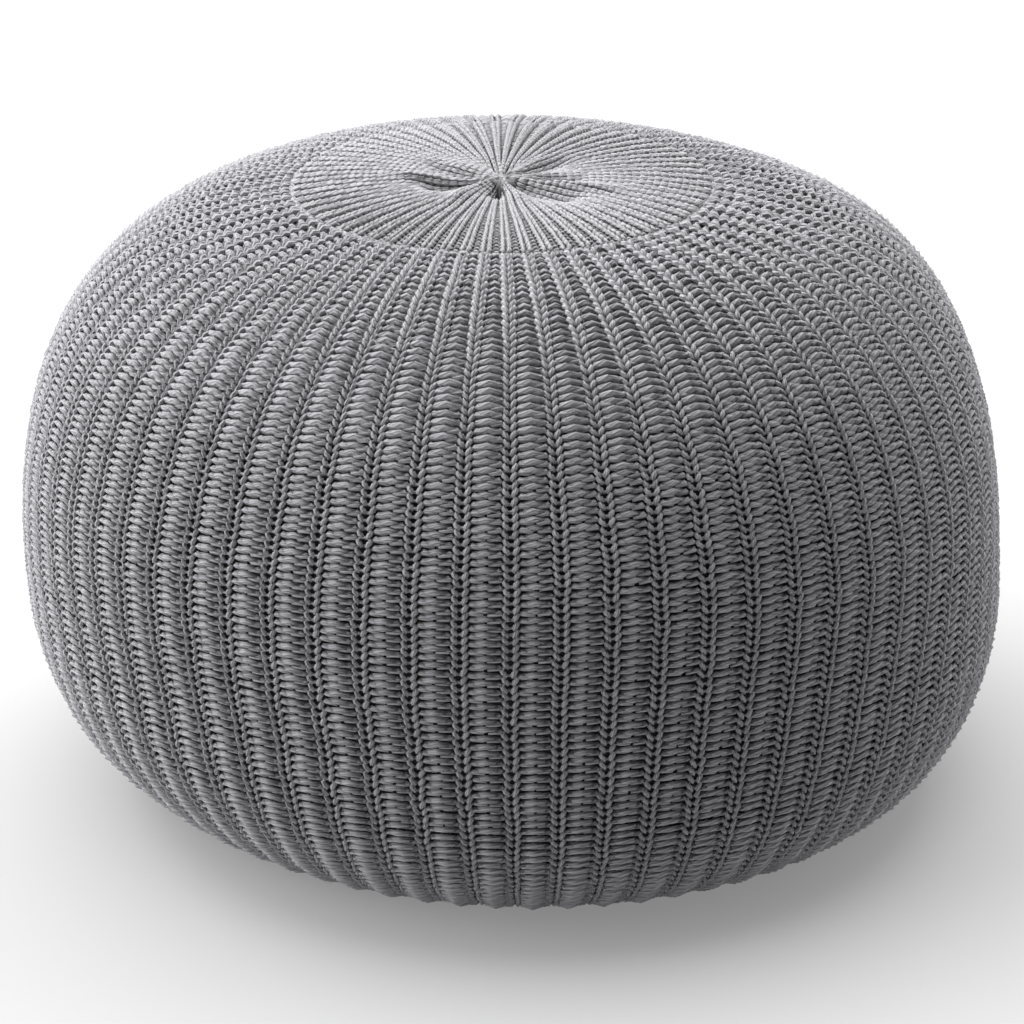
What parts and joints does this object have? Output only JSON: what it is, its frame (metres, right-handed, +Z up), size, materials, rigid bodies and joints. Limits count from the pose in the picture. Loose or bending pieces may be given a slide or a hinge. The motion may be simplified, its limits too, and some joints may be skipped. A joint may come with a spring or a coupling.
{
  "type": "knitted pouf",
  "caption": "Round filled pouf in a ribbed knitted cover, gathered to a point at the crown, with a flat foot to rest on.",
  "frame": {"origin": "on the surface the pouf rests on, in the flat foot, under the middle of the waist", "axes": "+Z up, through the crown; +X to the viewer's right and -Y towards the viewer"},
  "size_m": [0.5642, 0.5595, 0.3512],
  "materials": {
    "yarn": "thick matt cotton yarn, grey, in one by one rib"
  },
  "bodies": {
    "root": {"knitted_cover": "yarn"}
  },
  "joints": []
}
